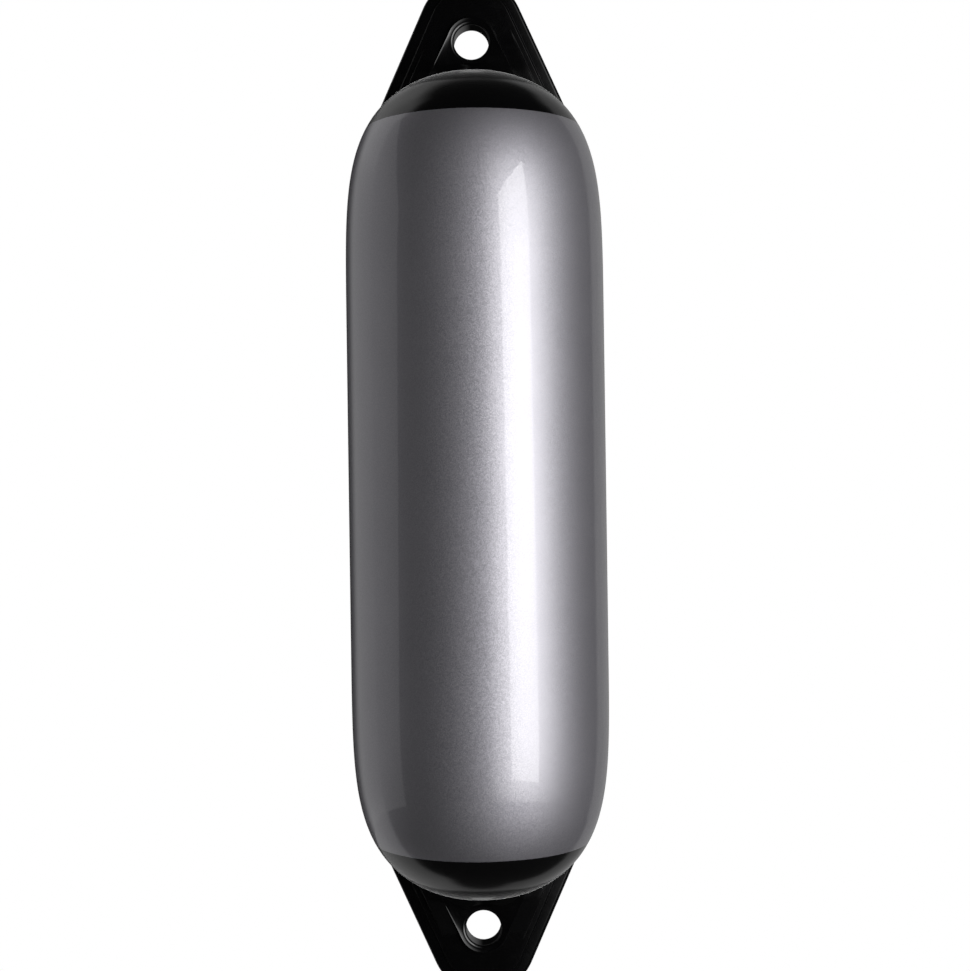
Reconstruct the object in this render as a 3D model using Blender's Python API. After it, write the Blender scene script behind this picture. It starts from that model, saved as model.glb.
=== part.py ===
"""Boat fender: a sealed vinyl tube with a flat rope eye moulded on each end and an air valve at the back.

The tube stands along Z with its middle at the origin. The eyes lie in the XZ plane and face -Y and +Y.
"""

import math

import bmesh
import bpy
from mathutils import Matrix

# Tube
OVERALL_LENGTH = 0.592
BODY_DIAMETER = 0.150
DOME_RISE = 0.13725
SHOULDER_POWER = 3.9
CROWN_POWER = 2.6
BLACK_END_HEIGHT = 0.031

# Eye
EYE_STAND = 0.05825
EYE_TIP_RADIUS = 0.0305
EYE_ROOT_RISE = 0.012
EYE_ROOT_DEPTH = 0.009
RIM_THICKNESS = 0.010
RIM_WIDTH = 0.0064
WEB_THICKNESS = 0.0128
PAD_INSET = 0.0102
PAD_RUN_OUT = 0.003
PAD_ROOT_STEP = 0.0020
BOSS_WALL = 0.00445
BOSS_THICKNESS = 0.0172
HOLE_DIAMETER = 0.0203
HOLE_RISE = 0.01925
HOLE_LIP = 0.0025
NECK_REACH = 0.0138
NECK_SLOPE = math.radians(26)
NECK_POWER = 4.0

# Edge roundings
RIM_EDGE = 0.0022
WEB_EDGE = 0.0011
PAD_EDGE = 0.0008
BOSS_EDGE = 0.0016

# Air valve
VALVE_RISE = 0.0150
VALVE_PAD_DIAMETER = 0.026
VALVE_PAD_HEIGHT = 0.0012
VALVE_SEAT_DIAMETER = 0.0170
VALVE_SEAT_DEPTH = 0.0053
FLANGE_THICKNESS = 0.0018
SLEEVE_DIAMETER = 0.0100
SLEEVE_LENGTH = 0.0110
SLEEVE_WALL = 0.0018
WASHER_DIAMETER = 0.0116
WASHER_THICKNESS = 0.0010
SCREW_HEAD_DIAMETER = 0.0124
SCREW_HEAD_HEIGHT = 0.0019
SCREW_SHANK_LENGTH = 0.0108
SCREW_SLOT_WIDTH = 0.0014
SCREW_SLOT_DEPTH = 0.0010
SMALL_EDGE = 0.0004

# Clearance between pieces that meet, and how far joined shapes run into each other
GAP = 0.0003
OVERLAP = 0.004

# Facets
BODY_SIDES = 64
SHOULDER_STEPS = 8
CROWN_STEPS = 5
NECK_STEPS = 4
ARC_STEPS = 16
EDGE_STEPS = 3
HOLE_SIDES = 36
VALVE_SIDES = 36
SHARP_ANGLE = math.radians(32)

# Worked out from the sizes above
BODY_RADIUS = BODY_DIAMETER / 2
EYE_TIP = OVERALL_LENGTH / 2
CROWN = EYE_TIP - EYE_STAND
DOME_START = CROWN - DOME_RISE
COLOUR_LINE = CROWN - BLACK_END_HEIGHT
EYE_CENTRE = EYE_TIP - EYE_TIP_RADIUS
HOLE_HEIGHT = CROWN + HOLE_RISE
HOLE_RADIUS = HOLE_DIAMETER / 2
BOSS_RADIUS = HOLE_RADIUS + BOSS_WALL
EYE_ROOT = COLOUR_LINE + EYE_ROOT_RISE
EYE_FOOT = EYE_ROOT - EYE_ROOT_DEPTH
NECK_TOP = HOLE_HEIGHT - HOLE_RADIUS - HOLE_LIP


def dome_radius(height):
    """Radius of the tube at a height on its dome."""
    share = (height - DOME_START) / DOME_RISE
    return BODY_RADIUS * (1 - share**SHOULDER_POWER) ** (1 / CROWN_POWER)


def dome_height(radius):
    """Height of the dome at a radius from the tube's axis."""
    share = 1 - (radius / BODY_RADIUS) ** CROWN_POWER
    return DOME_START + DOME_RISE * share ** (1 / SHOULDER_POWER)


def dome_slope(radius):
    """Fall of the dome's surface for each unit of radius."""
    step = 1e-5
    return (dome_height(radius - step) - dome_height(radius + step)) / (2 * step)


def eye_side_angle():
    """Angle to the tube's axis that brings the eye's sides from the tip's arc to the dome at EYE_ROOT."""
    across = dome_radius(EYE_ROOT)
    up = EYE_CENTRE - EYE_ROOT
    reach = math.hypot(across, up)
    return math.acos(EYE_TIP_RADIUS / reach) - math.atan2(up, across)


SIDE_ANGLE = eye_side_angle()


def taper_outline(centre, radius, foot):
    """(x, z) points of a tongue: an arc round a centre height, and tangent sides that spread to the foot."""
    points = []
    for step in range(ARC_STEPS + 1):
        angle = SIDE_ANGLE + (math.pi - 2 * SIDE_ANGLE) * step / ARC_STEPS
        points.append((radius * math.cos(angle), centre + radius * math.sin(angle)))
    half_foot = radius / math.cos(SIDE_ANGLE) + (centre - foot) * math.tan(SIDE_ANGLE)
    points.append((-half_foot, foot))
    points.append((half_foot, foot))
    return points


def closed_mesh(rings, looped=False):
    """A bmesh that joins rings of equal length by quads, with a face on each end, or looped end to end."""
    mesh = bmesh.new()
    made = [[mesh.verts.new(point) for point in ring] for ring in rings]
    pairs = list(zip(made, made[1:]))
    if looped:
        pairs.append((made[-1], made[0]))
    else:
        mesh.faces.new(list(reversed(made[0])))
        mesh.faces.new(made[-1])
    for lower, upper in pairs:
        for here in range(len(lower)):
            there = (here + 1) % len(lower)
            mesh.faces.new((lower[here], lower[there], upper[there], upper[here]))
    bmesh.ops.recalc_face_normals(mesh, faces=mesh.faces)
    return mesh


def add_object(name, mesh, materials=()):
    """Links a new object that holds the bmesh, shaded smooth between its sharp edges."""
    data = bpy.data.meshes.new(name)
    mesh.to_mesh(data)
    mesh.free()
    for material in materials:
        data.materials.append(material)
    data.shade_smooth()
    data.set_sharp_from_angle(angle=SHARP_ANGLE)
    made = bpy.data.objects.new(name, data)
    bpy.context.collection.objects.link(made)
    return made


def slab(name, centre, radius, foot, half_thickness, edge):
    """A tongue-shaped slab across Y with rounded edges, as thick at each height as half_thickness says."""
    rings = []
    turns = [math.pi / 2 * step / EDGE_STEPS for step in range(EDGE_STEPS + 1)]
    for side in (-1, 1):
        for turn in sorted(turns, reverse=side < 0):
            inset = edge * (1 - math.cos(turn))
            drop = edge * (1 - math.sin(turn))
            outline = taper_outline(centre, radius - inset, foot)
            rings.append([(x, side * (half_thickness(z) - drop), z) for x, z in outline])
    return add_object(name, closed_mesh(rings))


def turned(name, profile, sides, materials=(), bored=False):
    """A solid turned about Z from (radius, height) points: bottom face to top face, or a loop if it is bored."""
    angles = [2 * math.pi * side / sides for side in range(sides)]
    rings = []
    for radius, height in profile:
        rings.append([(radius * math.cos(a), radius * math.sin(a), height) for a in angles])
    return add_object(name, closed_mesh(rings, looped=bored), materials)


def combine(target, tool, operation):
    """Joins the tool to the target, or cuts it away, and removes the tool."""
    change = target.modifiers.new(operation.lower(), "BOOLEAN")
    change.operation = operation
    change.solver = "EXACT"
    change.object = tool
    bpy.context.view_layer.update()
    graph = bpy.context.evaluated_depsgraph_get()
    result = bpy.data.meshes.new_from_object(target.evaluated_get(graph))
    target.modifiers.clear()
    target.data = result
    bpy.data.objects.remove(tool)


def neck_reach(angle):
    """Distance from the axis to the neck's boxy section, at an angle round the axis."""
    flank = BOSS_RADIUS / math.cos(SIDE_ANGLE) + (HOLE_HEIGHT - NECK_TOP) * math.tan(SIDE_ANGLE)
    half_width = flank - 2 * GAP
    half_depth = BOSS_THICKNESS / 2 - GAP
    across = abs(math.cos(angle) / half_width) ** NECK_POWER
    along = abs(math.sin(angle) / half_depth) ** NECK_POWER
    return (across + along) ** (-1 / NECK_POWER)


def meridian(angle):
    """(radius, height) points up the tube's side, from the end of its straight part to the neck's top."""
    colour_turn = math.asin(((COLOUR_LINE - DOME_START) / DOME_RISE) ** (SHOULDER_POWER / 2))
    inner = neck_reach(angle)
    outer = inner + NECK_REACH
    outer_turn = math.acos((outer / BODY_RADIUS) ** (CROWN_POWER / 2))
    turns = [colour_turn * step / SHOULDER_STEPS for step in range(SHOULDER_STEPS)]
    for step in range(CROWN_STEPS + 1):
        turns.append(colour_turn + (outer_turn - colour_turn) * step / CROWN_STEPS)
    points = []
    for turn in turns:
        radius = BODY_RADIUS * math.cos(turn) ** (2 / CROWN_POWER)
        height = DOME_START + DOME_RISE * math.sin(turn) ** (2 / SHOULDER_POWER)
        points.append((radius, height))
    foot = dome_height(outer)
    middle = NECK_TOP - NECK_REACH / 2 * math.tan(NECK_SLOPE)
    for step in range(1, NECK_STEPS + 1):
        share = step / NECK_STEPS
        radius = outer + (inner - outer) * share
        height = foot * (1 - share) ** 2 + 2 * middle * share * (1 - share) + NECK_TOP * share**2
        points.append((radius, height))
    return points


def tube_mesh():
    """The tube with both domes, each raised at its crown into the sloping neck that carries the eye."""
    angles = [2 * math.pi * side / BODY_SIDES for side in range(BODY_SIDES)]
    columns = [meridian(angle) for angle in angles]
    rows = range(len(columns[0]))
    rings = []
    for end, order in ((-1, reversed(rows)), (1, rows)):
        for row in order:
            ring = []
            for angle, column in zip(angles, columns):
                radius, height = column[row]
                ring.append((radius * math.cos(angle), radius * math.sin(angle), end * height))
            rings.append(ring)
    return closed_mesh(rings)


def pad_half_thickness(height):
    """Half thickness of the pad, which stands proud of the web at the crown and runs out by the hole."""
    top = HOLE_HEIGHT + PAD_RUN_OUT
    return WEB_THICKNESS / 2 + PAD_ROOT_STEP * (top - height) / (top - CROWN)


def eye_slabs(end):
    """The stepped slabs of one eye: rim, web, pad and boss. end is 1 for the top eye, -1 for the bottom."""
    inside = CROWN - 2 * OVERLAP
    web_radius = EYE_TIP_RADIUS - RIM_WIDTH
    pad_radius = EYE_TIP_RADIUS - PAD_INSET
    slabs = [
        slab("rim", EYE_CENTRE, EYE_TIP_RADIUS, EYE_FOOT, lambda z: RIM_THICKNESS / 2, RIM_EDGE),
        slab("web", EYE_CENTRE, web_radius, EYE_FOOT, lambda z: WEB_THICKNESS / 2, WEB_EDGE),
        slab("pad", EYE_CENTRE, pad_radius, EYE_FOOT, pad_half_thickness, PAD_EDGE),
        slab("boss", HOLE_HEIGHT, BOSS_RADIUS, inside, lambda z: BOSS_THICKNESS / 2, BOSS_EDGE),
    ]
    for piece in slabs:
        piece.scale.z = end
    return slabs


def hole_cutter(end):
    """A cutter for the rope hole, belled at both faces so that the hole's edges come out rounded."""
    half = BOSS_THICKNESS / 2
    turns = [math.pi / 2 * step / (EDGE_STEPS + 1) for step in range(EDGE_STEPS + 2)]
    bell = []
    for turn in turns:
        radius = HOLE_RADIUS + HOLE_LIP * (1 - math.cos(turn))
        bell.append((radius, half - HOLE_LIP * (1 - math.sin(turn))))
    bell.append((bell[-1][0], half + OVERLAP))
    profile = [(radius, -height) for radius, height in reversed(bell)] + bell
    cutter = turned("hole", profile, HOLE_SIDES)
    cutter.rotation_euler.x = math.pi / 2
    cutter.location.z = end * HOLE_HEIGHT
    return cutter


def valve_place():
    """An empty on the back of the top dome, with its Z axis along the dome's normal."""
    height = COLOUR_LINE + VALVE_RISE
    radius = dome_radius(height)
    place = bpy.data.objects.new("valve_axis", None)
    bpy.context.collection.objects.link(place)
    place.location = (0, radius, height)
    place.rotation_euler.x = -math.atan(dome_slope(radius))
    bpy.context.view_layer.update()
    return place


def seat(piece, place):
    """Parents the piece to the empty, in the empty's own frame."""
    piece.parent = place
    piece.matrix_parent_inverse = Matrix.Identity(4)
    return piece


def valve_pad():
    """The raised round pad on the dome that the valve's socket is cut through."""
    radius = VALVE_PAD_DIAMETER / 2
    edge = 2 * SMALL_EDGE
    profile = [
        (radius, -2 * OVERLAP),
        (radius, VALVE_PAD_HEIGHT - edge),
        (radius - edge, VALVE_PAD_HEIGHT),
    ]
    return turned("valve_pad", profile, VALVE_SIDES)


def valve_socket():
    """The cutter for the flange's seat and the blind bore under it."""
    floor = VALVE_PAD_HEIGHT - VALVE_SEAT_DEPTH
    bore = SLEEVE_DIAMETER / 2 + GAP
    seat_radius = VALVE_SEAT_DIAMETER / 2
    profile = [
        (bore, floor - SLEEVE_LENGTH - 2 * GAP),
        (bore, floor),
        (seat_radius, floor),
        (seat_radius, VALVE_PAD_HEIGHT + OVERLAP),
    ]
    return turned("valve_socket", profile, VALVE_SIDES)


def valve_insert(materials):
    """The flanged sleeve that is moulded into the dome and takes the screw."""
    floor = VALVE_PAD_HEIGHT - VALVE_SEAT_DEPTH + GAP
    top = floor + FLANGE_THICKNESS
    bottom = floor - SLEEVE_LENGTH
    outer = SLEEVE_DIAMETER / 2
    inner = outer - SLEEVE_WALL
    flange = VALVE_SEAT_DIAMETER / 2 - GAP
    profile = [
        (inner, bottom),
        (outer - SMALL_EDGE, bottom),
        (outer, bottom + SMALL_EDGE),
        (outer, floor),
        (flange, floor),
        (flange, top - SMALL_EDGE),
        (flange - SMALL_EDGE, top),
        (inner, top),
    ]
    return turned("valve_insert", profile, VALVE_SIDES, materials, bored=True)


def washer_base():
    """Height of the washer's lower face over the dome."""
    return VALVE_PAD_HEIGHT - VALVE_SEAT_DEPTH + FLANGE_THICKNESS + 2 * GAP


def valve_washer(materials):
    """The soft ring under the screw's head."""
    base = washer_base()
    top = base + WASHER_THICKNESS
    outer = WASHER_DIAMETER / 2
    inner = SLEEVE_DIAMETER / 2 - SLEEVE_WALL
    edge = SMALL_EDGE / 2
    profile = [
        (inner, base),
        (outer - edge, base),
        (outer, base + edge),
        (outer, top - edge),
        (outer - edge, top),
        (inner, top),
    ]
    return turned("valve_washer", profile, VALVE_SIDES, materials, bored=True)


def valve_screw(materials):
    """The slotted plug screw that closes the valve."""
    base = washer_base() + WASHER_THICKNESS + GAP
    top = base + SCREW_HEAD_HEIGHT
    head = SCREW_HEAD_DIAMETER / 2
    shank = SLEEVE_DIAMETER / 2 - SLEEVE_WALL - GAP
    tip = base - SCREW_SHANK_LENGTH
    profile = [
        (shank - 2 * SMALL_EDGE, tip),
        (shank, tip + 2 * SMALL_EDGE),
        (shank, base),
        (head - SMALL_EDGE, base),
        (head, base + SMALL_EDGE),
        (head, top - 2 * SMALL_EDGE),
        (head - SMALL_EDGE, top - SMALL_EDGE / 2),
        (head - 3 * SMALL_EDGE, top),
    ]
    screw = turned("valve_screw", profile, VALVE_SIDES, materials)
    slot_mesh = bmesh.new()
    bmesh.ops.create_cube(slot_mesh, size=1)
    slot = add_object("slot", slot_mesh)
    slot.scale = (SCREW_HEAD_DIAMETER + OVERLAP, SCREW_SLOT_WIDTH, 2 * SCREW_SLOT_DEPTH)
    slot.location.z = top
    combine(screw, slot, "DIFFERENCE")
    screw.data.set_sharp_from_angle(angle=SHARP_ANGLE)
    return screw


def make_material(name, colour, roughness, metallic=0.0, coat=0.0):
    """A Principled material."""
    material = bpy.data.materials.new(name)
    material.use_nodes = True
    shader = material.node_tree.nodes["Principled BSDF"]
    shader.inputs["Base Color"].default_value = (*colour, 1)
    shader.inputs["Roughness"].default_value = roughness
    shader.inputs["Metallic"].default_value = metallic
    shader.inputs["Coat Weight"].default_value = coat
    return material


def silver_vinyl():
    return make_material("silver_vinyl", (0.26, 0.25, 0.27), 0.38, metallic=0.8, coat=1.0)


def black_vinyl():
    return make_material("black_vinyl", (0.004, 0.004, 0.004), 0.12)


def black_nylon():
    return make_material("black_nylon", (0.012, 0.012, 0.013), 0.35)


def grey_rubber():
    return make_material("grey_rubber", (0.09, 0.09, 0.09), 0.7)


def fender_body(place):
    """The tube with its eyes and the valve's pad in one moulding, silver between the two colour lines."""
    body = add_object("fender_body", tube_mesh())
    for end in (1, -1):
        for piece in eye_slabs(end):
            combine(body, piece, "UNION")
        combine(body, hole_cutter(end), "DIFFERENCE")
    combine(body, seat(valve_pad(), place), "UNION")
    combine(body, seat(valve_socket(), place), "DIFFERENCE")
    body.data.materials.clear()
    body.data.materials.append(silver_vinyl())
    body.data.materials.append(black_vinyl())
    for face in body.data.polygons:
        face.material_index = int(abs(face.center.z) > COLOUR_LINE)
    body.data.shade_smooth()
    body.data.set_sharp_from_angle(angle=SHARP_ANGLE)
    return body


def clear_scene():
    for old in list(bpy.data.objects):
        bpy.data.objects.remove(old)


def main():
    clear_scene()
    place = valve_place()
    fender_body(place)
    seat(valve_insert([black_nylon()]), place)
    seat(valve_washer([grey_rubber()]), place)
    seat(valve_screw([black_nylon()]), place)


main()
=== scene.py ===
"""Studio picture of an inflatable boat fender: its vinyl skin, its air valve, the stage and the camera."""

import math

import bmesh
import bpy
from bpy.props import FloatProperty, FloatVectorProperty, PointerProperty
from mathutils import Matrix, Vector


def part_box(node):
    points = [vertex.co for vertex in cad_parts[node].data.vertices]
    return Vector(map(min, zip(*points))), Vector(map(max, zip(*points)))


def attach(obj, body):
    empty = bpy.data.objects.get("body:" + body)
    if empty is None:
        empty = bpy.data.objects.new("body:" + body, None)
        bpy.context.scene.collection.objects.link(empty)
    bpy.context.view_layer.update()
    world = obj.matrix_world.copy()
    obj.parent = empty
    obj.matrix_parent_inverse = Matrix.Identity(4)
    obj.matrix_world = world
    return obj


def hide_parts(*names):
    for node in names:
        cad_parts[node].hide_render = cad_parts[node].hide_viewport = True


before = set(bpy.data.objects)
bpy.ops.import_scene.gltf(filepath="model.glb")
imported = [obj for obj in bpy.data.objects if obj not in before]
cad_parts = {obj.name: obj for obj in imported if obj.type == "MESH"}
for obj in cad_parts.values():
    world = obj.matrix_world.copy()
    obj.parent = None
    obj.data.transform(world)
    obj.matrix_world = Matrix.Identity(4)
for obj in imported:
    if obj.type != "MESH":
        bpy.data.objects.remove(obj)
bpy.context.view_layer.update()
BODY_LOW, BODY_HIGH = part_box("fender_body")

bl_info = {
    "name": "Boat Fender",
    "version": (1, 0, 0),
    "blender": (4, 5, 0),
    "location": "3D View > Sidebar > Fender",
    "description": "Builds an inflatable boat fender with rope eyes and an air valve, and a studio round it",
    "category": "Add Mesh",
}

# Facets
TUBE_SIDES = 240
SHOULDER_STEPS = 26
CROWN_STEPS = 14
NECK_STEPS = 14
ARC_STEPS = 40
SIDE_STEPS = 22
EDGE_STEPS = 5
LIP_STEPS = 8
MORPH_STEPS = 3
VALVE_SIDES = 96
LAMP_COLUMNS = 24
FLOOR_SIDES = 96
SHARP_ANGLE = math.radians(32)

# Clearance between pieces, and how far joined shapes run into each other
GAP = 0.0003
OVERLAP = 0.004

WHITE = (1, 1, 1, 1)


def metres(name, description, default):
    """A length that a user can change."""
    return FloatProperty(
        name=name, description=description, default=default, min=0, unit="LENGTH", precision=5
    )


def colour(name, description, default):
    """A colour that a user can change."""
    return FloatVectorProperty(
        name=name, description=description, default=default, size=3, subtype="COLOR", min=0, max=1
    )


def factor(name, description, default, high=1.0):
    """A plain number that a user can change."""
    return FloatProperty(name=name, description=description, default=default, min=0, max=high)


def angle(name, description, degrees):
    """An angle that a user can change."""
    return FloatProperty(
        name=name, description=description, default=math.radians(degrees), subtype="ANGLE"
    )


class FenderSizes(bpy.types.PropertyGroup):
    """Sizes of the moulded body."""

    overall_length: metres("Overall length", "From eye tip to eye tip", BODY_HIGH.z - BODY_LOW.z)
    body_diameter: metres("Body diameter", "Across the straight tube", BODY_HIGH.x - BODY_LOW.x)
    dome_rise: metres("Dome rise", "From the straight tube to the crown", 0.1630)
    shoulder_power: factor("Shoulder power", "How late the dome turns in", 5.08, high=12)
    crown_power: factor("Crown power", "How flat the dome is on top", 2.09, high=12)
    black_end: metres("Black end", "Height of the black part of each dome", 0.03335)
    eye_stand: metres("Eye stand", "How far the eye's tip stands over the crown", 0.0559)
    tip_radius: metres("Tip radius", "Radius of the eye's tip", 0.0305)
    root_rise: metres("Root rise", "Height over the colour line where the eye's sides meet the dome", 0.012)
    root_depth: metres("Root depth", "How far the eye runs on inside the dome", 0.009)
    rim_thickness: metres("Rim thickness", "Thickness of the eye's outer rim", 0.010)
    rim_width: metres("Rim width", "From the eye's outline to its web", 0.0064)
    rim_edge: metres("Rim edge", "Rounding of the rim", 0.0022)
    web_thickness: metres("Web thickness", "Thickness of the eye's web", 0.0128)
    web_edge: metres("Web edge", "Rounding of the web's step", 0.0006)
    web_lean: metres("Web lean", "How far the web's step leans in", 0.0005)
    cove: metres("Cove", "Hollow rounding at the foot of each step", 0.0003)
    pad_inset: metres("Pad inset", "From the eye's outline to its pad", 0.0102)
    pad_edge: metres("Pad edge", "Rounding of the pad's step", 0.0008)
    pad_run_out: metres("Pad run-out", "Height over the hole's middle where the pad ends", 0.003)
    pad_root_step: metres("Pad root step", "Height of the pad's step at the crown", 0.0020)
    boss_wall: metres("Boss wall", "From the hole's wall to the boss's outline", 0.00445)
    boss_thickness: metres("Boss thickness", "Thickness of the eye at the hole", 0.0172)
    boss_edge: metres("Boss edge", "Rounding of the boss", 0.0004)
    boss_lean: metres("Boss lean", "How far the boss's flank leans in", 0.0004)
    bead_width: metres("Bead width", "Slope from the boss's raised edge down to its face", 0.0010)
    bead_height: metres("Bead height", "How far that edge stands over the face", 0.00034)
    hole_diameter: metres("Hole diameter", "Diameter of the rope hole", 0.0203)
    hole_rise: metres("Hole rise", "Height of the hole's middle over the crown", 0.0169)
    hole_lip: metres("Hole lip", "Rounding of the hole's edges", 0.0018)
    neck_reach: metres("Neck reach", "Width of the slope that carries the eye", 0.0058)
    neck_ease: factor("Neck ease", "How gently that slope starts and ends", 0.35)
    neck_power: factor("Neck power", "How boxy the neck is", 4.0, high=12)


class ValveSizes(bpy.types.PropertyGroup):
    """Sizes of the air valve at the back of the top dome."""

    rise: metres("Rise", "Height of the valve over the colour line", 0.0150)
    pad_diameter: metres("Pad diameter", "Raised round pad on the dome", 0.026)
    pad_height: metres("Pad height", "How far the pad stands out", 0.0012)
    pad_edge: metres("Pad edge", "Rounding of the pad", 0.0008)
    seat_diameter: metres("Seat diameter", "Recess for the flange", 0.0170)
    seat_depth: metres("Seat depth", "Depth of the recess under the pad", 0.0053)
    flange_thickness: metres("Flange thickness", "Thickness of the insert's flange", 0.0018)
    sleeve_diameter: metres("Sleeve diameter", "Outside of the insert's sleeve", 0.0100)
    sleeve_length: metres("Sleeve length", "Length of the sleeve under the flange", 0.0110)
    sleeve_wall: metres("Sleeve wall", "Wall of the sleeve", 0.0018)
    washer_diameter: metres("Washer diameter", "Soft ring under the head", 0.0116)
    washer_thickness: metres("Washer thickness", "Thickness of that ring", 0.0010)
    head_diameter: metres("Head diameter", "Head of the screw", 0.0124)
    head_height: metres("Head height", "Thickness of the head", 0.0019)
    shank_length: metres("Shank length", "Length of the screw under its head", 0.0108)
    thread_pitch: metres("Thread pitch", "Distance between the thread's turns", 0.0016)
    slot_width: metres("Slot width", "Width of the screwdriver slot", 0.0014)
    slot_depth: metres("Slot depth", "Depth of the slot", 0.0010)
    edge: metres("Edge", "Rounding of the small pieces", 0.0004)


class VinylFinish(bpy.types.PropertyGroup):
    """Colours and gloss of the skin."""

    silver: colour("Silver", "Colour of the metallic flakes", (0.35, 0.34, 0.37))
    silver_shade: colour("Silver shade", "Colour of the flakes that lie deeper", (0.265, 0.26, 0.285))
    silver_roughness: factor("Silver roughness", "How widely the flakes scatter light", 0.50)
    metallic: factor("Metallic", "Share of metal in the silver", 0.92)
    flake_size: metres("Flake size", "Width of one flake", 0.00042)
    flake_tilt: factor("Flake tilt", "How far the flakes lean", 0.10)
    flake_share: factor("Flake share", "How much the flakes vary the tone, and soft clouds the rest", 0.55)
    cloud_size: metres("Cloud size", "Width of the clouds in the silver", 0.030)
    coat_roughness: factor("Coat roughness", "Roughness of the clear skin over the silver", 0.02)
    black: colour("Black", "Colour of the ends", (0.0012, 0.0012, 0.0013))
    line_softness: metres("Line softness", "Half the width over which silver turns to black", 0.0001)
    line_waver: metres("Line waver", "How far the colour line wanders", 0.0005)
    waver_size: metres("Waver size", "Length of one wander", 0.018)
    dome_roughness: factor("Dome roughness", "Roughness of the black on the domes", 0.14)
    dome_haze: factor("Dome haze", "Pale haze on the domes at grazing angles", 0.4)
    haze_roughness: factor("Haze roughness", "How widely that haze spreads", 0.24)
    eye_roughness: factor("Eye roughness", "Roughness of the black on the eyes", 0.10)
    scuff_size: metres("Scuff size", "Width of the dull scuffs on the black", 0.006)
    scuff_roughness: factor("Scuff roughness", "Roughness that a scuff adds", 0.04)
    grain_size: metres("Grain size", "Width of the skin's faint bumps", 0.0016)
    grain_depth: metres("Grain depth", "Depth of those bumps", 0.0002)
    grain_strength: factor("Grain strength", "How far the bumps bend the light", 0.06)


class StudioSetup(bpy.types.PropertyGroup):
    """Camera, lamps and floor. Each strength is the lamp's radiance, where 1 shows as pure white."""

    camera_distance: metres("Camera distance", "From the tube's axis to the camera", 1.007)
    camera_side: metres("Camera side", "How far the camera stands right of the axis", 0.0044)
    camera_drop: metres("Camera drop", "How far the camera stands under the tube's middle", 0.0004)
    camera_roll: angle("Camera roll", "Turn of the camera about its view", 0.80)
    lens: factor("Lens", "Focal length in millimetres", 63.9, high=400)
    key_strength: factor("Key strength", "The tall softbox right of the camera", 6.2, high=100)
    glow_strength: factor("Glow strength", "The diffuser round that softbox", 4.45, high=100)
    side_strength: factor("Side strength", "The white board on the left", 0.36, high=100)
    flank_strength: factor("Flank strength", "The white wall beyond that board", 0.42, high=100)
    back_strength: factor("Back strength", "The white backdrop", 0.28, high=100)
    room_strength: factor("Room strength", "The dark room in front", 0.006)
    lamp_distance: metres("Lamp distance", "From the tube's axis to the lamps", 1.5)
    floor_drop: metres("Floor drop", "From the tube's middle down to the floor", 0.62)
    floor_radius: metres("Floor radius", "Radius of the floor", 1.05)


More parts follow.
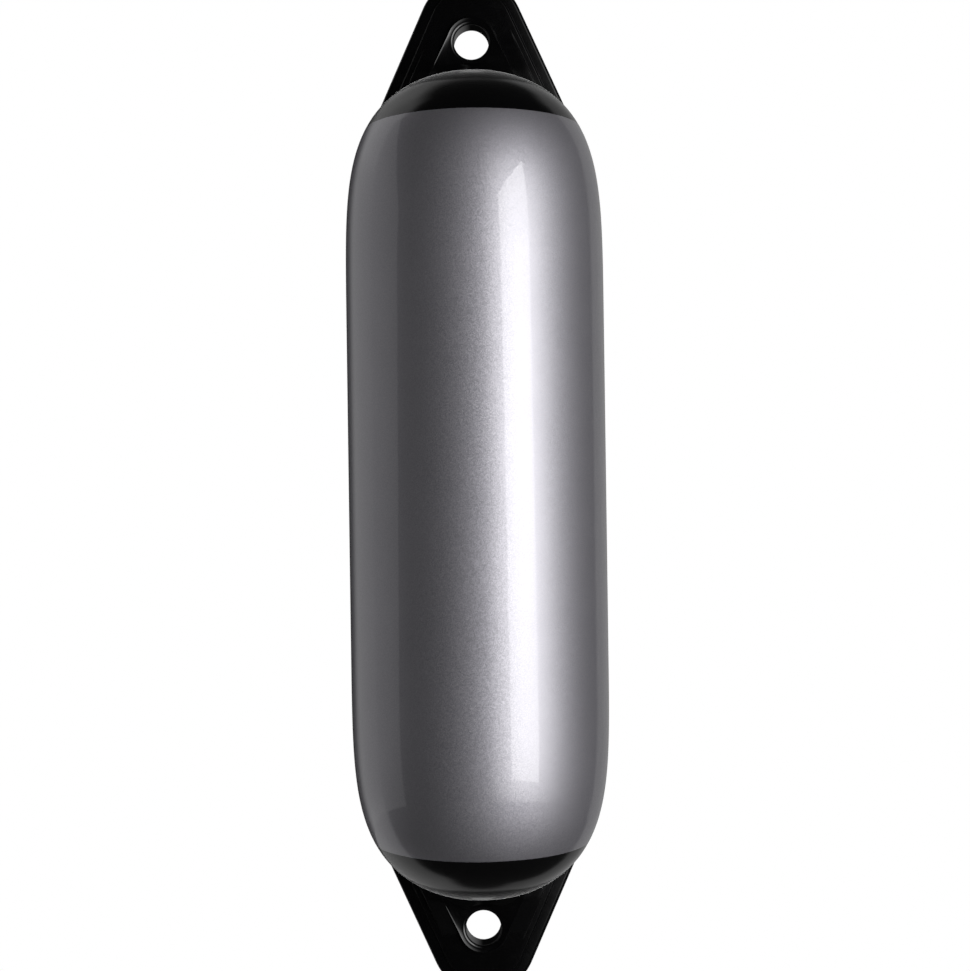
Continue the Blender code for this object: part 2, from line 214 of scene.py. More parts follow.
class Form:
    """The body's sizes and the curves worked out from them. Heights run from the tube's middle."""

    def __init__(self, sizes):
        self.sizes = sizes
        self.radius = sizes.body_diameter / 2
        self.tip = sizes.overall_length / 2
        self.crown = self.tip - sizes.eye_stand
        self.dome_start = self.crown - sizes.dome_rise
        self.colour_line = self.crown - sizes.black_end
        self.eye_centre = self.tip - sizes.tip_radius
        self.hole_height = self.crown + sizes.hole_rise
        self.hole_radius = sizes.hole_diameter / 2
        self.boss_radius = self.hole_radius + sizes.boss_wall
        self.half_web = sizes.web_thickness / 2
        self.eye_root = self.colour_line + sizes.root_rise
        self.eye_foot = self.eye_root - sizes.root_depth
        self.neck_top = self.hole_height - self.hole_radius - sizes.hole_lip - GAP
        self.tilt = self.eye_side_angle()

    def dome_radius(self, height):
        """Radius of the dome's surface at a height."""
        share = (height - self.dome_start) / self.sizes.dome_rise
        return self.radius * (1 - share**self.sizes.shoulder_power) ** (1 / self.sizes.crown_power)

    def dome_height(self, radius):
        """Height of the dome's surface at a radius."""
        share = 1 - (radius / self.radius) ** self.sizes.crown_power
        return self.dome_start + self.sizes.dome_rise * share ** (1 / self.sizes.shoulder_power)

    def dome_slope(self, radius):
        """Fall of the dome's surface for each unit of radius."""
        step = 1e-5
        return (self.dome_height(radius - step) - self.dome_height(radius + step)) / (2 * step)

    def eye_side_angle(self):
        """Angle to the tube's axis that brings the eye's sides from its tip to the dome at its root."""
        across = self.dome_radius(self.eye_root)
        up = self.eye_centre - self.eye_root
        return math.acos(self.sizes.tip_radius / math.hypot(across, up)) - math.atan2(up, across)

    def tongue(self, centre, radius, foot):
        """(x, z) points from the right foot up a straight side, over an arc and down to the left foot."""
        start = (radius * math.cos(self.tilt), centre + radius * math.sin(self.tilt))
        half_foot = radius / math.cos(self.tilt) + (centre - foot) * math.tan(self.tilt)
        right = []
        for step in range(SIDE_STEPS):
            share = step / SIDE_STEPS
            right.append((half_foot + (start[0] - half_foot) * share, foot + (start[1] - foot) * share))
        arc = []
        for step in range(ARC_STEPS + 1):
            turn = self.tilt + (math.pi - 2 * self.tilt) * step / ARC_STEPS
            arc.append((radius * math.cos(turn), centre + radius * math.sin(turn)))
        left = [(-x, z) for x, z in reversed(right)]
        return right + arc + left

    def circle(self, radius):
        """(x, z) points round the hole, as many as a tongue has and in the same order."""
        bottom = -math.pi / 2 + 0.5 * (self.tilt + math.pi / 2) / (SIDE_STEPS + 0.5)
        turns = []
        for step in range(SIDE_STEPS):
            turns.append(bottom + (self.tilt - bottom) * step / SIDE_STEPS)
        for step in range(ARC_STEPS + 1):
            turns.append(self.tilt + (math.pi - 2 * self.tilt) * step / ARC_STEPS)
        turns += [math.pi - turn for turn in reversed(turns[:SIDE_STEPS])]
        return [(radius * math.cos(t), self.hole_height + radius * math.sin(t)) for t in turns]

    def pad_face(self, height):
        """Half thickness of the eye on its pad, level up to the crown and then running out into the web."""
        top = self.hole_height + self.sizes.pad_run_out
        step = self.sizes.pad_root_step * min(1, (top - height) / (top - self.crown))
        return self.half_web + max(0, step)

    def neck_section(self, turn):
        """Distance from the axis to the neck's boxy section, at an angle round the axis."""
        drop = self.hole_height - self.neck_top
        flank = self.boss_radius / math.cos(self.tilt) + drop * math.tan(self.tilt)
        half_width = flank - 2 * GAP
        half_depth = self.sizes.boss_thickness / 2 - self.sizes.bead_height - GAP
        power = self.sizes.neck_power
        across = abs(math.cos(turn) / half_width) ** power
        along = abs(math.sin(turn) / half_depth) ** power
        return (across + along) ** (-1 / power)

    def meridian(self, turn):
        """(radius, height) points up the tube's side, from its straight part to the neck's top."""
        sizes = self.sizes
        line_share = (self.colour_line - self.dome_start) / sizes.dome_rise
        line = math.asin(line_share ** (sizes.shoulder_power / 2))
        inner = self.neck_section(turn)
        outer = inner + sizes.neck_reach
        end = math.acos((outer / self.radius) ** (sizes.crown_power / 2))
        bends = [line * step / SHOULDER_STEPS for step in range(SHOULDER_STEPS)]
        bends += [line + (end - line) * step / CROWN_STEPS for step in range(CROWN_STEPS + 1)]
        points = []
        for bend in bends:
            radius = self.radius * math.cos(bend) ** (2 / sizes.crown_power)
            height = self.dome_start + sizes.dome_rise * math.sin(bend) ** (2 / sizes.shoulder_power)
            points.append((radius, height))
        foot = self.dome_height(outer)
        for step in range(1, NECK_STEPS + 1):
            share = step / NECK_STEPS
            climb = share + sizes.neck_ease * (share * share * (3 - 2 * share) - share)
            points.append((outer + (inner - outer) * share, foot + (self.neck_top - foot) * climb))
        return points


def ring_mesh(rings, looped=False):
    """A bmesh that joins rings of equal length by quads, with a face on each end, or looped end to end."""
    mesh = bmesh.new()
    made = [[mesh.verts.new(point) for point in ring] for ring in rings]
    pairs = list(zip(made, made[1:]))
    if looped:
        pairs.append((made[-1], made[0]))
    else:
        mesh.faces.new(list(reversed(made[0])))
        mesh.faces.new(made[-1])
    for lower, upper in pairs:
        for here in range(len(lower)):
            there = (here + 1) % len(lower)
            mesh.faces.new((lower[here], lower[there], upper[there], upper[here]))
    bmesh.ops.recalc_face_normals(mesh, faces=mesh.faces)
    return mesh


def smooth(data):
    """Shades a mesh smooth between its sharp edges."""
    data.shade_smooth()
    data.set_sharp_from_angle(angle=SHARP_ANGLE)


def add_piece(name, mesh, materials=()):
    """Links a new object that holds the bmesh, shaded smooth between its sharp edges."""
    data = bpy.data.meshes.new(name)
    mesh.to_mesh(data)
    mesh.free()
    for material in materials:
        data.materials.append(material)
    smooth(data)
    piece = bpy.data.objects.new(name, data)
    bpy.context.scene.collection.objects.link(piece)
    return piece


def combine(target, tool, operation):
    """Joins the tool to the target, or cuts it away, and removes the tool."""
    change = target.modifiers.new(operation.lower(), "BOOLEAN")
    change.operation = operation
    change.solver = "EXACT"
    change.object = tool
    bpy.context.view_layer.update()
    graph = bpy.context.evaluated_depsgraph_get()
    target.data = bpy.data.meshes.new_from_object(target.evaluated_get(graph))
    target.modifiers.clear()
    bpy.data.objects.remove(tool)


def turned(name, profile, bored=False):
    """A solid turned about Z from (radius, height) points, bottom to top, or a closed loop if bored."""
    turns = [2 * math.pi * side / VALVE_SIDES for side in range(VALVE_SIDES)]
    rings = []
    for radius, height in profile:
        rings.append([(radius * math.cos(turn), radius * math.sin(turn), height) for turn in turns])
    return add_piece(name, ring_mesh(rings, looped=bored))


def rounding(centre, radius, start, end):
    """Points of an arc about a centre that rounds a corner, between two angles in quarter turns."""
    points = []
    for step in range(EDGE_STEPS + 1):
        turn = math.pi / 2 * (start + (end - start) * step / EDGE_STEPS)
        points.append((centre[0] + radius * math.cos(turn), centre[1] + radius * math.sin(turn)))
    return points


def step_up(start, cove, edge, rise, lean=0.0):
    """(inset, share of the rise) pairs over a step: its hollow foot, leaning wall and rounded edge."""
    pairs = []
    for x, y in rounding((start - cove, cove), cove, -1, 0):
        pairs.append((x, y / rise))
    for x, y in rounding((start + lean + edge, rise - edge), edge, 2, 1):
        pairs.append((x, y / rise))
    return pairs


def eye_rings(form):
    """Rings over one half of the eye, from its outline at mid thickness to the middle of the hole's wall."""
    sizes = form.sizes
    half_rim = sizes.rim_thickness / 2
    half_boss = sizes.boss_thickness / 2
    web_rise = form.half_web - half_rim
    rings = []

    def outline(inset, depth):
        points = form.tongue(form.eye_centre, sizes.tip_radius - inset, form.eye_foot)
        rings.append([(x, -depth(z), z) for x, z in points])

    # The rim, then the steps up to the web and to the pad
    outline(0, lambda z: 0)
    for x, y in rounding((sizes.rim_edge, half_rim - sizes.rim_edge), sizes.rim_edge, 2, 1):
        outline(x, lambda z: y)
    for inset, share in step_up(sizes.rim_width, sizes.cove, sizes.web_edge, web_rise, sizes.web_lean):
        outline(inset, lambda z: half_rim + web_rise * share)
    pad_steps = step_up(sizes.pad_inset, sizes.cove, sizes.pad_edge, sizes.cove + sizes.pad_edge)
    for inset, share in pad_steps:
        outline(inset, lambda z: form.half_web + (form.pad_face(z) - form.half_web) * share)

    # Over the pad's face, from its outline to the boss's
    last_pad = pad_steps[-1][0]
    boss_foot = form.crown - 2 * OVERLAP
    outer = form.tongue(form.eye_centre, sizes.tip_radius - last_pad, form.eye_foot)
    inner = form.tongue(form.hole_height, form.boss_radius + sizes.cove, boss_foot)
    for step in range(1, MORPH_STEPS + 1):
        share = step / (MORPH_STEPS + 1)
        ring = []
        for (x0, z0), (x1, z1) in zip(outer, inner):
            z = z0 + (z1 - z0) * share
            ring.append((x0 + (x1 - x0) * share, -form.pad_face(z), z))
        rings.append(ring)

    # Up the boss's flank to its raised edge, and down the slope to its face
    boss_rise = half_boss - form.half_web
    base = form.tongue(form.hole_height, form.boss_radius, boss_foot)
    boss_steps = step_up(0, sizes.cove, sizes.boss_edge, boss_rise, sizes.boss_lean)
    boss_steps.append((boss_steps[-1][0] + sizes.bead_width, 1 - sizes.bead_height / boss_rise))
    for inset, share in boss_steps:
        ring = []
        points = form.tongue(form.hole_height, form.boss_radius - inset, boss_foot)
        for (x0, z0), (x1, z1) in zip(base, points):
            rise = max(half_boss - form.pad_face(z0), GAP)
            part = rise / boss_rise
            ring.append((x0 + (x1 - x0) * part, share * -rise - form.pad_face(z0), z0 + (z1 - z0) * part))
        rings.append(ring)

    # The hole's rounded lip and its wall
    for step in range(LIP_STEPS + 1):
        turn = math.pi / 2 * step / LIP_STEPS
        radius = form.hole_radius + sizes.hole_lip * (1 - math.sin(turn))
        depth = half_boss - sizes.bead_height - sizes.hole_lip * (1 - math.cos(turn))
        rings.append([(x, -depth, z) for x, z in form.circle(radius)])
    rings.append([(x, 0, z) for x, z in form.circle(form.hole_radius)])
    return rings


def eye_piece(form, end):
    """One eye as a closed solid. end is 1 for the top eye and -1 for the bottom one."""
    front = eye_rings(form)
    back = [[(x, -y, z) for x, y, z in ring] for ring in reversed(front[1:-1])]
    rings = [[(x, y, end * z) for x, y, z in ring] for ring in front + back]
    return add_piece("eye", ring_mesh(rings, looped=True))


def tube_piece(form):
    """The tube with both domes, each raised at its crown into the sloping neck that carries the eye."""
    turns = [2 * math.pi * side / TUBE_SIDES for side in range(TUBE_SIDES)]
    columns = [form.meridian(turn) for turn in turns]
    rows = range(len(columns[0]))
    rings = []
    for end, order in ((-1, reversed(rows)), (1, rows)):
        for row in order:
            ring = []
            for turn, column in zip(turns, columns):
                radius, height = column[row]
                ring.append((radius * math.cos(turn), radius * math.sin(turn), end * height))
            rings.append(ring)
    return add_piece("fender_skin", ring_mesh(rings))


def valve_matrix(form, valve):
    """The valve's own frame on the back of the top dome, with its Z axis along the dome's normal."""
    height = form.colour_line + valve.rise
    radius = form.dome_radius(height)
    tilt = -math.atan(form.dome_slope(radius))
    return Matrix.Translation((0, radius, height)) @ Matrix.Rotation(tilt, 4, "X")


def valve_pad(valve):
    """The raised round pad on the dome."""
    radius = valve.pad_diameter / 2
    profile = [(radius, -2 * OVERLAP)]
    profile += rounding((radius - valve.pad_edge, valve.pad_height - valve.pad_edge), valve.pad_edge, 0, 1)
    return turned("valve_pad", profile)


def valve_socket(valve):
    """The cutter for the flange's seat, its rounded mouth and the blind bore under it."""
    floor = valve.pad_height - valve.seat_depth
    bore = valve.sleeve_diameter / 2 + GAP
    seat = valve.seat_diameter / 2
    profile = [(bore, floor - valve.sleeve_length - 2 * GAP), (bore, floor), (seat, floor)]
    profile += rounding((seat + valve.edge, valve.pad_height - valve.edge), valve.edge, 2, 1)
    profile.append((seat + valve.edge, valve.pad_height + OVERLAP))
    return turned("valve_socket", profile)


def weigh_normals(piece):
    """Keeps flat faces flat beside their rounded edges."""
    weigh = piece.modifiers.new("weighted normals", "WEIGHTED_NORMAL")
    weigh.keep_sharp = True


def valve_floor(valve):
    """Height of the flange's lower face over the dome."""
    return valve.pad_height - valve.seat_depth + GAP


def sleeve_profile(valve):
    """Loop of the flanged sleeve."""
    floor = valve_floor(valve)
    top = floor + valve.flange_thickness
    bottom = floor - valve.sleeve_length
    outer = valve.sleeve_diameter / 2
    inner = outer - valve.sleeve_wall
    flange = valve.seat_diameter / 2 - GAP
    edge = valve.edge
    profile = [(inner, bottom), (outer - edge, bottom)]
    profile += rounding((outer - edge, bottom + edge), edge, -1, 0)
    profile += [(outer, floor), (flange, floor)]
    profile += rounding((flange - edge, top - edge), edge, 0, 1)
    profile.append((inner, top))
    return profile


def washer_profile(valve):
    """Loop of the soft ring."""
    base = valve_floor(valve) + valve.flange_thickness + GAP
    top = base + valve.washer_thickness
    outer = valve.washer_diameter / 2
    inner = valve.sleeve_diameter / 2 - valve.sleeve_wall
    edge = valve.edge
    profile = [(inner, base)]
    profile += rounding((outer - edge, base + edge), edge, -1, 0)
    profile += rounding((outer - edge, top - edge), edge, 0, 1)
    profile.append((inner, top))
    return profile


def screw_profile(valve):
    """Outline of the plug screw, with the roots and crests of its thread as rings."""
    base = valve_floor(valve) + valve.flange_thickness + valve.washer_thickness + 2 * GAP
    top = base + valve.head_height
    head = valve.head_diameter / 2
    shank = valve.sleeve_diameter / 2 - valve.sleeve_wall - GAP
    tip = base - valve.shank_length
    edge = valve.edge
    quarter = valve.thread_pitch / 4
    root = shank - quarter
    profile = [(root - edge, tip), (root, tip + edge)]
    turns = int((valve.shank_length - 4 * edge) / valve.thread_pitch)
    for turn in range(turns):
        middle = tip + 2 * edge + (turn + 0.5) * valve.thread_pitch
        profile += [(root, middle - quarter), (shank, middle), (root, middle + quarter)]
    profile += [(shank, base - edge), (shank, base), (head - edge, base)]
    profile += rounding((head - edge, base + edge), edge, -1, 0)
    profile += rounding((head - 2 * edge, top - 2 * edge), 2 * edge, 0, 1)
    return profile


class Link:
    """One output socket of a shader. Python's operators on it add Math nodes."""

    def __init__(self, shader, socket):
        self.shader = shader
        self.socket = socket

    def math(self, operation, *values):
        sockets = dict(enumerate(values))
        return self.shader.node("ShaderNodeMath", {"operation": operation}, sockets)

    def __add__(self, other):
        return self.math("ADD", self, other)

    def __radd__(self, other):
        return self.math("ADD", other, self)

    def __sub__(self, other):
        return self.math("SUBTRACT", self, other)

    def __rsub__(self, other):
        return self.math("SUBTRACT", other, self)

    def __mul__(self, other):
        return self.math("MULTIPLY", self, other)

    def __rmul__(self, other):
        return self.math("MULTIPLY", other, self)

    def __truediv__(self, other):
        return self.math("DIVIDE", self, other)

    def __rtruediv__(self, other):
        return self.math("DIVIDE", other, self)

    def __abs__(self):
        return self.math("ABSOLUTE", self)

    def least(self, other):
        return self.math("MINIMUM", self, other)

    def most(self, other):
        return self.math("MAXIMUM", self, other)

    def output(self, name):
        """Another output of the same node."""
        return Link(self.shader, self.socket.node.outputs[name])


class Shader:
    """The node tree of a material or of the world."""

    def __init__(self, owner):
        owner.use_nodes = True
        self.tree = owner.node_tree
        self.tree.nodes.clear()

    def node(self, kind, settings=None, sockets=None, output=0):
        """Adds a node: its settings first, then a value or a link for each of its sockets."""
        made = self.tree.nodes.new(kind)
        for name, value in (settings or {}).items():
            setattr(made, name, value)
        for name, value in (sockets or {}).items():
            if isinstance(value, Link):
                self.tree.links.new(value.socket, made.inputs[name])
            else:
                made.inputs[name].default_value = value
        return Link(self, made.outputs[output]) if made.outputs else None

    def place(self):
        """The point's own coordinates in metres."""
        return self.node("ShaderNodeTexCoord").output("Object")

    def apart(self, vector):
        """The three parts of a vector."""
        split = self.node("ShaderNodeSeparateXYZ", sockets={"Vector": vector})
        return split, split.output("Y"), split.output("Z")

    def ramp(self, value, low, high):
        """0 where the value is low and 1 where it is high, with a smooth change between."""
        settings = {"interpolation_type": "SMOOTHSTEP"}
        sockets = {"Value": value, "From Min": low, "From Max": high}
        return self.node("ShaderNodeMapRange", settings, sockets)

    def noise(self, place, size, detail=2.0):
        """Soft noise from 0 to 1 with features of about the size in metres."""
        sockets = {"Vector": place, "Scale": 1 / size, "Detail": detail}
        return self.node("ShaderNodeTexNoise", sockets=sockets)

    def blend(self, share, first, second):
        """A colour between two colours."""
        sockets = {0: share, 6: first, 7: second}
        return self.node("ShaderNodeMix", {"data_type": "RGBA"}, sockets, output=2)

    def vector(self, operation, *vectors, **named):
        """Vector maths on vectors, with a named socket such as Scale where one is needed."""
        sockets = dict(enumerate(vectors)) | named
        return self.node("ShaderNodeVectorMath", {"operation": operation}, sockets)

    def bump(self, height, strength, depth, **named):
        """A normal bent by a height map of the depth in metres."""
        sockets = {"Strength": strength, "Distance": depth, "Height": height} | named
        return self.node("ShaderNodeBump", sockets=sockets)

    def principled(self, sockets):
        return self.node("ShaderNodeBsdfPrincipled", sockets=sockets)

    def emission(self, light, strength=1.0):
        """Glow of a colour, or of a grey from one value."""
        return self.node("ShaderNodeEmission", sockets={"Color": light, "Strength": strength})

    def finish(self, surface):
        self.node("ShaderNodeOutputMaterial", sockets={"Surface": surface})


def rgba(colour_value):
    """A colour as a socket takes it."""
    return (*colour_value, 1)


def grey(value):
    """A grey as a socket takes it."""
    return (value, value, value, 1)


def radians(*degrees):
    """Angles in radians."""
    return [math.radians(value) for value in degrees]


def moulded_vinyl(form, finish):
    """The skin's vinyl: metallic silver under a clear skin, and black past each colour line."""
    material = bpy.data.materials.new("moulded_vinyl")
    shader = Shader(material)
    place = shader.place()
    height = abs(shader.apart(place)[2])
    waver = (shader.noise(place, finish.waver_size) - 0.5) * finish.line_waver
    line_start = form.colour_line - finish.line_softness
    line_end = form.colour_line + finish.line_softness
    black = shader.ramp(height + waver, line_start, line_end)
    silver = 1 - black
    eye_start = form.crown - 0.003
    eye_end = form.crown + 0.001
    eye = shader.ramp(height, eye_start, eye_end)

    flake_scale = 1 / finish.flake_size
    cells = shader.node("ShaderNodeTexVoronoi", sockets={"Vector": place, "Scale": flake_scale})
    flake = cells.output("Color")
    spread = shader.apart(flake)[0]
    clouds = shader.noise(place, finish.cloud_size, detail=4.0)
    tone = (spread * finish.flake_share + clouds * (1 - finish.flake_share)).least(1.0)
    metal = shader.blend(tone, rgba(finish.silver_shade), rgba(finish.silver))
    lean = shader.vector("SUBTRACT", flake, (0.5, 0.5, 0.5))
    lean = shader.vector("SCALE", lean, Scale=silver * finish.flake_tilt)
    normal = shader.node("ShaderNodeNewGeometry").output("Normal")
    tilted = shader.vector("NORMALIZE", shader.vector("ADD", normal, lean))
    grain = shader.noise(place, finish.grain_size, detail=3.0)
    bumped = shader.bump(grain, finish.grain_strength, finish.grain_depth, Normal=tilted)

    scuffs = shader.ramp(shader.noise(place, finish.scuff_size, detail=6.0), low=0.45, high=0.75)
    dulling = scuffs * finish.scuff_roughness
    domes = shader.principled(
        {
            "Base Color": rgba(finish.black),
            "Roughness": finish.dome_roughness + dulling,
            "Sheen Weight": finish.dome_haze,
            "Sheen Roughness": finish.haze_roughness,
            "Normal": bumped,
        }
    )
    rest = shader.principled(
        {
            "Base Color": shader.blend(black, metal, rgba(finish.black)),
            "Metallic": silver * finish.metallic,
            "Roughness": black * (finish.eye_roughness + dulling) + silver * finish.silver_roughness,
            "Coat Weight": silver,
            "Coat Roughness": finish.coat_roughness,
            "Normal": bumped,
        }
    )
    surface = shader.node("ShaderNodeMixShader", sockets={0: black * (1 - eye), 1: rest, 2: domes})
    shader.finish(surface)
    return material


def moulded_nylon(name, shade):
    """Satin black nylon with a faint orange-peel, paler and duller where it is worn."""
    material = bpy.data.materials.new(name)
    shader = Shader(material)
    place = shader.place()
    grain = shader.noise(place, 0.0004, detail=4.0)
    wear = shader.noise(place, 0.004, detail=5.0)
    worn_shade = [2.2 * part for part in shade]
    surface = shader.principled(
        {
            "Base Color": shader.blend(wear, rgba(shade), rgba(worn_shade)),
            "Roughness": 0.28 + wear * 0.2,
            "Normal": shader.bump(grain, strength=0.15, depth=0.0001),
        }
    )
    shader.finish(surface)
    return material


def soft_rubber():
    """Matt grey rubber with a powdery grain."""
    material = bpy.data.materials.new("soft_rubber")
    shader = Shader(material)
    grain = shader.noise(shader.place(), 0.0005, detail=6.0)
    dark, dusty = (0.06, 0.06, 0.062, 1), (0.12, 0.12, 0.122, 1)
    surface = shader.principled(
        {
            "Base Color": shader.blend(grain, dark, dusty),
            "Roughness": 0.6 + grain * 0.25,
            "Normal": shader.bump(grain, strength=0.3, depth=0.0001),
        }
    )
    shader.finish(surface)
    return material


def even_light(shader, strength):
    """Glow of a lamp as bright all over."""
    return shader.emission(WHITE, strength)


def soft_light(shader, strength):
    """Glow of a diffuser that is brightest behind the tall softbox and fades to all sides."""
    middle, half_width, side_edge = radians(38.5, 24.5, 16)
    half_height = 0.95
    x, y, z = shader.apart(shader.place())
    azimuth = x.math("ARCTAN2", x, -1 * y)
    across = (azimuth - middle) / half_width
    along = z / half_height
    spread = -1 * (across * across + along * along * along * along)
    rise = shader.ramp(azimuth, 0, side_edge)
    return shader.emission(strength * rise * spread.math("EXPONENT", spread))


def lamp_sheet(name, left, right, distance, strength, pattern=even_light):
    """A glowing sheet bent round the tube's axis, unseen by the camera.

    left and right are its side edges from the bottom up, as (azimuth in degrees, height) points.
    Azimuth 0 faces the camera and grows to the camera's right.
    """
    mesh = bmesh.new()
    rows = []
    for start, end in zip(left, right):
        row = []
        for step in range(LAMP_COLUMNS + 1):
            share = step / LAMP_COLUMNS
            turn = math.radians(start[0] + (end[0] - start[0]) * share)
            height = start[1] + (end[1] - start[1]) * share
            row.append(mesh.verts.new((distance * math.sin(turn), -distance * math.cos(turn), height)))
        rows.append(row)
    for low, high in zip(rows, rows[1:]):
        for column in range(LAMP_COLUMNS):
            mesh.faces.new((low[column], low[column + 1], high[column + 1], high[column]))
    material = bpy.data.materials.new(name)
    shader = Shader(material)
    shader.finish(pattern(shader, strength))
    sheet = add_piece(name, mesh, [material])
    sheet.visible_camera = False
    sheet.visible_shadow = False


def backdrop(shader, right, behind, up, studio):
    """Azimuth of a direction, 0 straight behind and growing to the right, and the wall's brightness there.

    The wall runs from the left side round the back, and is brighter on the left, most so high and low.
    """
    turn = right.math("ARCTAN2", right, behind)
    wall = shader.ramp(turn, *radians(-84, -76))
    wall = wall * (1 - shader.ramp(turn, *radians(50, 56)))
    left = 1 - shader.ramp(turn, *radians(-50, -20))
    level = studio.back_strength + left * (studio.flank_strength - studio.back_strength)
    high = shader.ramp(abs(up), 0.26, 0.40)
    return turn, wall * level * (1 + 0.3 * left * high)


def studio_world(studio):
    """White where the camera looks, a white wall behind the fender with a painted shadow of the fender on
    it, and a dark room in front of it.
    """
    world = bpy.data.worlds.new("studio")
    bpy.context.scene.world = world
    shader = Shader(world)
    path = shader.node("ShaderNodeLightPath")
    direction = shader.node("ShaderNodeTexCoord").output("Generated")
    right, behind, up = shader.apart(direction)
    turn, wall = backdrop(shader, right, behind, up, studio)

    # The wall's upper and lower edges close in to the right
    closing = 0.12 * shader.ramp(turn, *radians(0, 40))
    wall = wall * (1 - shader.ramp(abs(up) + closing, 0.80, 0.93))

    # Painted shadow of the fender on the wall: a dark patch at middle heights and a little left of straight
    # behind
    shadow_azimuth, shadow_start, shadow_end = radians(-14, 14, 32)
    shadow_height = 1 - shader.ramp(abs(up), 0.32, 0.50)
    painted_shadow = shadow_height * (1 - shader.ramp(abs(turn - shadow_azimuth), shadow_start, shadow_end))
    glow = wall * (1 - painted_shadow) + studio.room_strength
    seen = path.output("Is Camera Ray").most(path.output("Is Transmission Ray"))
    light = seen + (1 - seen) * glow
    background = shader.node("ShaderNodeBackground", sockets={"Color": light, "Strength": 1.0})
    shader.node("ShaderNodeOutputWorld", sockets={"Surface": background})


def studio_floor(studio):
    """A pale round floor under the fender that takes its shadow and fades to white at the floor's edge.

    In reflections it is dark near the fender and carries the wall's light further out.
    """
    mesh = bmesh.new()
    bmesh.ops.create_circle(mesh, cap_ends=True, segments=FLOOR_SIDES, radius=studio.floor_radius)
    material = bpy.data.materials.new("pale_floor")
    shader = Shader(material)
    seen = shader.node("ShaderNodeLightPath").output("Is Camera Ray")
    x, y, z = shader.apart(shader.place())
    reach = x.math("SQRT", x * x + y * y)
    fade = shader.ramp(reach, studio.floor_radius * 0.5, studio.floor_radius)
    pale = shader.blend(seen, grey(0.04), grey(0.8))
    card = shader.node("ShaderNodeBsdfDiffuse", sockets={"Color": pale})
    turn, wall = backdrop(shader, x, y, z, studio)
    mirrored = wall * shader.ramp(reach, 0.10, 0.18)
    lift = 0.6
    glow = shader.emission(seen * lift + (1 - seen) * mirrored)
    card = shader.node("ShaderNodeAddShader", sockets={0: card, 1: glow})
    white = shader.emission(WHITE)
    shader.finish(shader.node("ShaderNodeMixShader", sockets={0: fade * seen, 1: card, 2: white}))
    floor = add_piece("studio_floor", mesh, [material])
    floor.location.z = -studio.floor_drop


def studio_camera(studio):
    """The camera at the photograph's distance and height."""
    data = bpy.data.cameras.new("studio_camera")
    data.lens = studio.lens
    camera = bpy.data.objects.new("studio_camera", data)
    camera.location = (studio.camera_side, -studio.camera_distance, -studio.camera_drop)
    camera.rotation_euler = (math.pi / 2, studio.camera_roll, 0)
    bpy.context.scene.collection.objects.link(camera)
    bpy.context.scene.camera = camera


class FENDER_OT_skin(bpy.types.Operator):
    """Moulds the fender's skin: the tube, both domes, both eyes and the valve's pad and socket"""

    bl_idname = "fender.skin"
    bl_label = "Moulded skin"

    def execute(self, context):
        scene = context.scene
        form = Form(scene.fender_sizes)
        valve = scene.fender_valve
        skin = tube_piece(form)
        for end in (1, -1):
            combine(skin, eye_piece(form, end), "UNION")
        for tool, operation in ((valve_pad(valve), "UNION"), (valve_socket(valve), "DIFFERENCE")):
            tool.matrix_world = valve_matrix(form, valve)
            combine(skin, tool, operation)
        skin.data.materials.clear()
        skin.data.materials.append(moulded_vinyl(form, scene.fender_finish))
        for face in skin.data.polygons:
            face.material_index = 0
        smooth(skin.data)
        weigh_normals(skin)
        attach(skin, "root")
        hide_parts("fender_body")
        return {"FINISHED"}


def fit_valve_piece(scene, piece, node, material):
    """Seats one piece of the valve on the dome in place of its CAD node."""
    piece.data.transform(valve_matrix(Form(scene.fender_sizes), scene.fender_valve))
    piece.data.materials.append(material)
    weigh_normals(piece)
    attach(piece, "root")
    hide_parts(node)


class FENDER_OT_valve_insert(bpy.types.Operator):
    """Turns the flanged sleeve that the valve's screw closes"""

    bl_idname = "fender.valve_insert"
    bl_label = "Valve insert"

    def execute(self, context):
        piece = turned("valve_sleeve", sleeve_profile(context.scene.fender_valve), bored=True)
        material = moulded_nylon("sleeve_nylon", (0.010, 0.010, 0.011))
        fit_valve_piece(context.scene, piece, "valve_insert", material)
        return {"FINISHED"}


class FENDER_OT_valve_washer(bpy.types.Operator):
    """Turns the soft ring under the screw's head"""

    bl_idname = "fender.valve_washer"
    bl_label = "Valve washer"

    def execute(self, context):
        piece = turned("valve_ring", washer_profile(context.scene.fender_valve), bored=True)
        fit_valve_piece(context.scene, piece, "valve_washer", soft_rubber())
        return {"FINISHED"}


class FENDER_OT_valve_screw(bpy.types.Operator):
    """Turns the slotted plug screw with its thread"""

    bl_idname = "fender.valve_screw"
    bl_label = "Valve screw"

    def execute(self, context):
        valve = context.scene.fender_valve
        profile = screw_profile(valve)
        piece = turned("valve_plug", profile)
        cube = bmesh.new()
        bmesh.ops.create_cube(cube, size=1)
        slot = add_piece("slot", cube)
        slot.scale = (valve.head_diameter + OVERLAP, valve.slot_width, 2 * valve.slot_depth)
        slot.location.z = profile[-1][1]
        combine(piece, slot, "DIFFERENCE")
        smooth(piece.data)
        material = moulded_nylon("screw_nylon", (0.014, 0.014, 0.015))
        fit_valve_piece(context.scene, piece, "valve_screw", material)
        return {"FINISHED"}


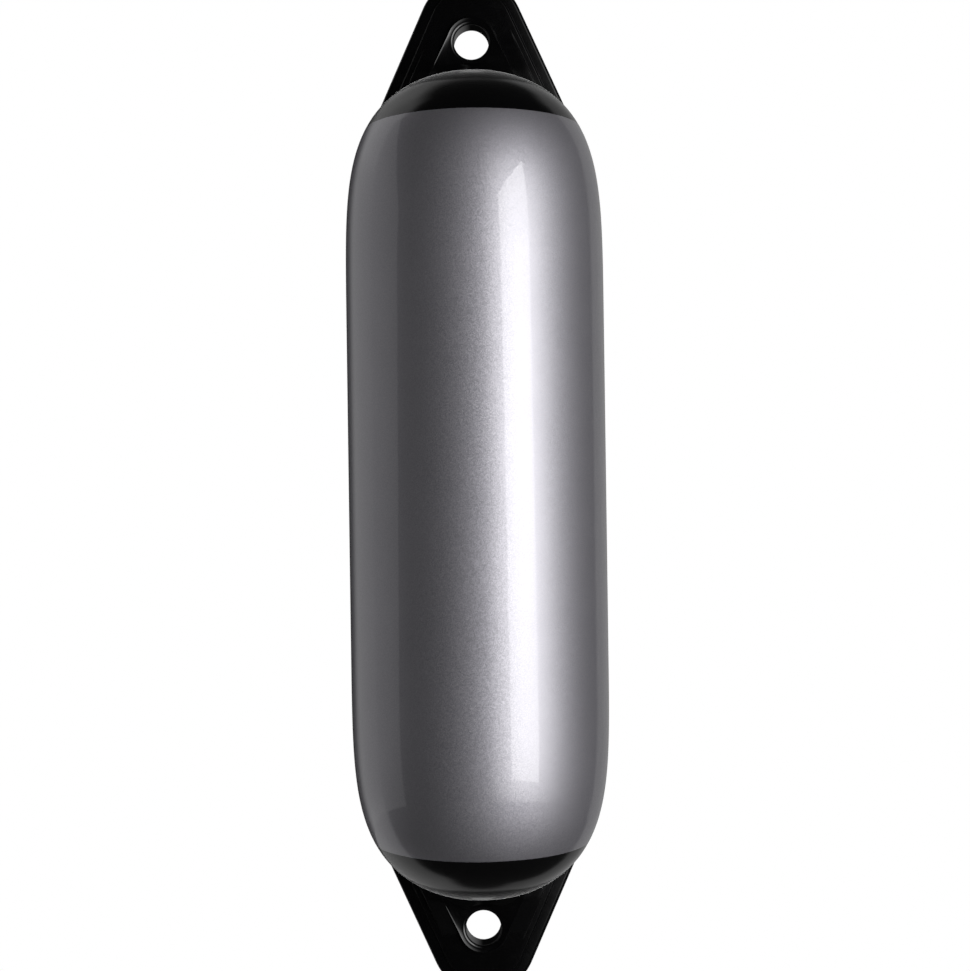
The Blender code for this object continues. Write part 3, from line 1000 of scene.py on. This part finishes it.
class FENDER_OT_stage(bpy.types.Operator):
    """Sets up the floor, the lamps, the world and the camera"""

    bl_idname = "fender.stage"
    bl_label = "Studio"

    def execute(self, context):
        studio = context.scene.fender_studio
        context.scene.view_settings.view_transform = "Standard"
        studio_world(studio)
        studio_floor(studio)
        studio_camera(studio)
        far = studio.lamp_distance
        beyond_key = 1.1 * far
        key_left = ((27.3, -0.615), (21.3, 0.589))
        key_right = ((51.9, -0.641), (46.4, 0.896))
        lamp_sheet("key_softbox", key_left, key_right, far, studio.key_strength)
        glow_left = ((-20, -1.2), (-20, 1.3))
        glow_right = ((95, -1.2), (95, 1.3))
        lamp_sheet("key_diffuser", glow_left, glow_right, beyond_key, studio.glow_strength, soft_light)
        board_right = ((-74.5, -1.2), (-73.7, -0.3), (-68.3, 0.49), (-76.8, 0.88), (-94.9, 1.61))
        board_left = [(-102, height) for azimuth, height in board_right]
        lamp_sheet("side_board", board_left, board_right, far, studio.side_strength)
        return {"FINISHED"}


class FENDER_PT_sidebar(bpy.types.Panel):
    """Lists the fender's pieces and their sizes"""

    bl_idname = "FENDER_PT_sidebar"
    bl_label = "Boat Fender"
    bl_space_type = "VIEW_3D"
    bl_region_type = "UI"
    bl_category = "Fender"

    def draw(self, context):
        scene = context.scene
        for operator in OPERATORS:
            self.layout.operator(operator.bl_idname)
        for group in (scene.fender_sizes, scene.fender_valve, scene.fender_finish, scene.fender_studio):
            box = self.layout.box()
            for name in group.bl_rna.properties.keys():
                if name not in ("rna_type", "name"):
                    box.prop(group, name)


OPERATORS = (
    FENDER_OT_skin,
    FENDER_OT_valve_insert,
    FENDER_OT_valve_washer,
    FENDER_OT_valve_screw,
    FENDER_OT_stage,
)
GROUPS = {
    "fender_sizes": FenderSizes,
    "fender_valve": ValveSizes,
    "fender_finish": VinylFinish,
    "fender_studio": StudioSetup,
}


def register():
    for name, group in GROUPS.items():
        bpy.utils.register_class(group)
        setattr(bpy.types.Scene, name, PointerProperty(type=group))
    for operator in OPERATORS:
        bpy.utils.register_class(operator)
    bpy.utils.register_class(FENDER_PT_sidebar)


def unregister():
    bpy.utils.unregister_class(FENDER_PT_sidebar)
    for operator in reversed(OPERATORS):
        bpy.utils.unregister_class(operator)
    for name, group in reversed(GROUPS.items()):
        delattr(bpy.types.Scene, name)
        bpy.utils.unregister_class(group)


def main():
    register()
    bpy.ops.fender.skin()
    bpy.ops.fender.valve_insert()
    bpy.ops.fender.valve_washer()
    bpy.ops.fender.valve_screw()
    bpy.ops.fender.stage()


if __name__ == "__main__":
    main()
